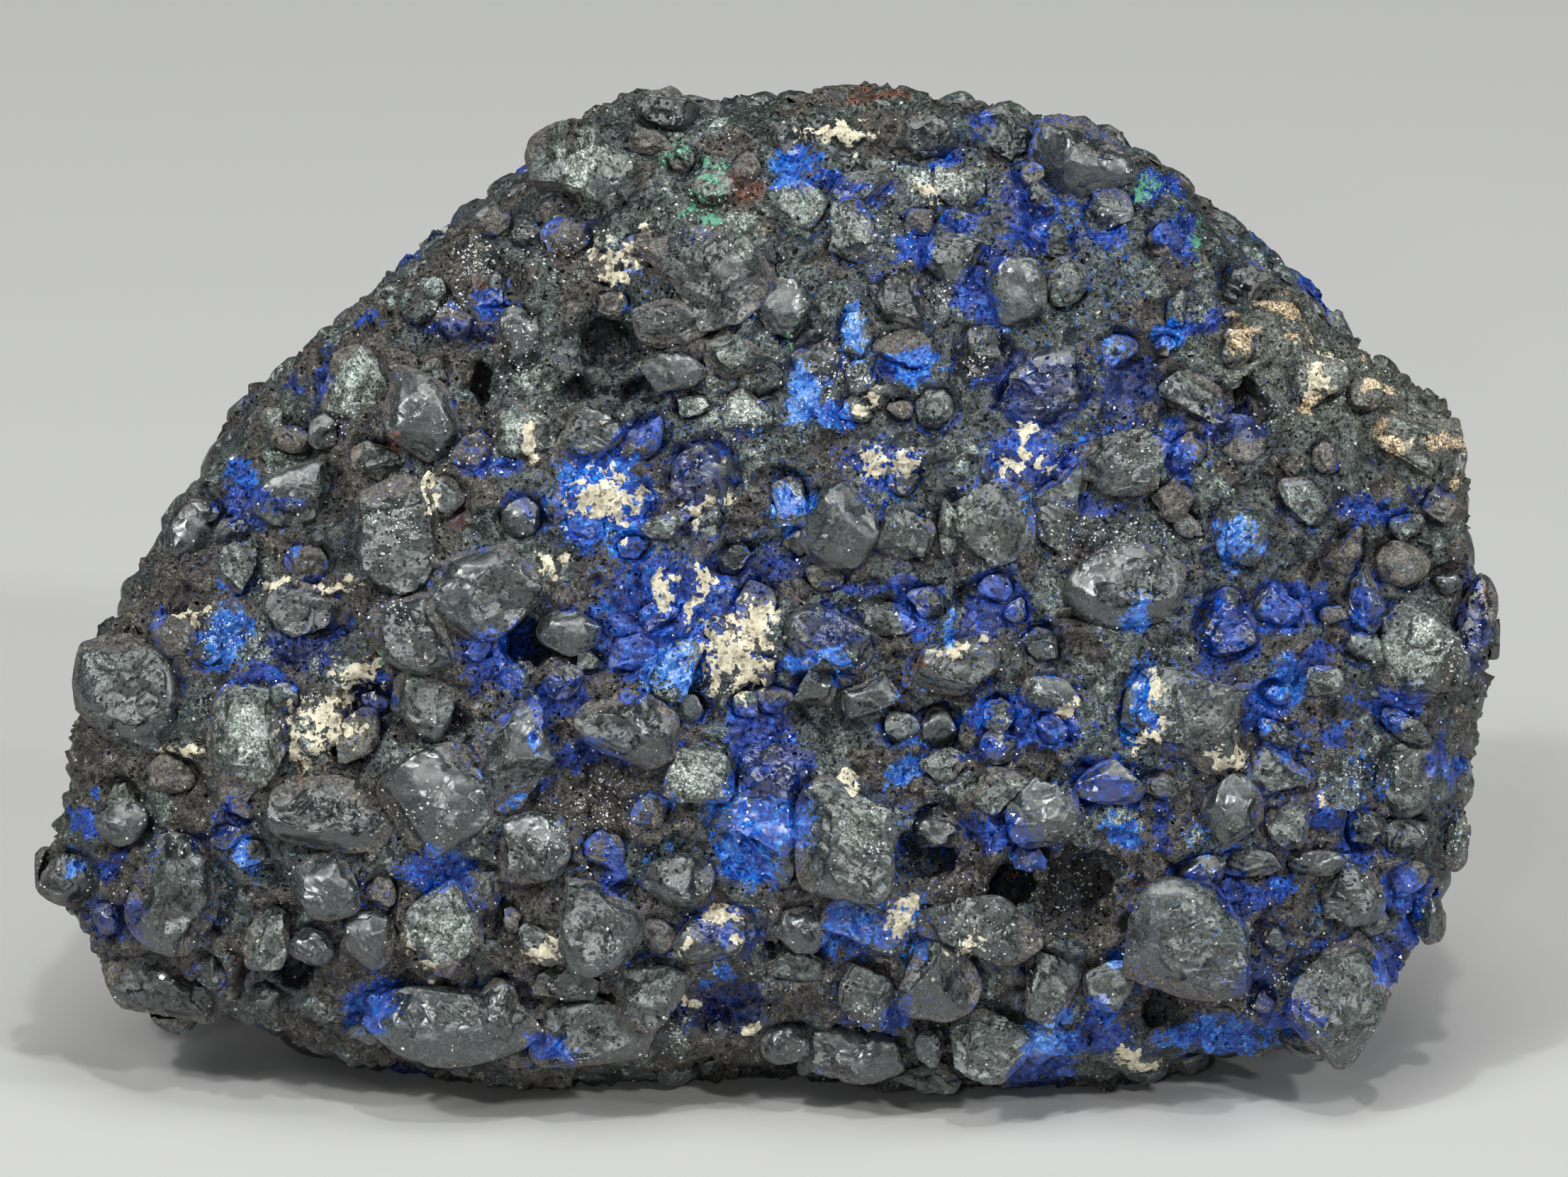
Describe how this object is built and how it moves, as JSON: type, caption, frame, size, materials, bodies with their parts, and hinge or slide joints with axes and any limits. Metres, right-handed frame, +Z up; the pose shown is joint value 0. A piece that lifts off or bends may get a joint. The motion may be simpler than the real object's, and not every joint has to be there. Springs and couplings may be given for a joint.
{
  "type": "azurite specimen",
  "caption": "Hand specimen of azurite: dark pebbles cemented in one block by black ore and blue azurite, standing on a flat cut underside.",
  "frame": {"origin": "centre of the bounding box, on the flat face that the specimen rests on", "axes": "+X to the right along the specimen's length, -Y towards the viewer out of the broken face, +Z up"},
  "size_m": [0.0796, 0.0422, 0.0527],
  "materials": {
    "blue_veined_ore": "dark pebbles from dull to glassy, sooty black cement and velvety to crystalline blue azurite"
  },
  "bodies": {
    "root": {"azurite_specimen": "blue_veined_ore"}
  },
  "joints": []
}
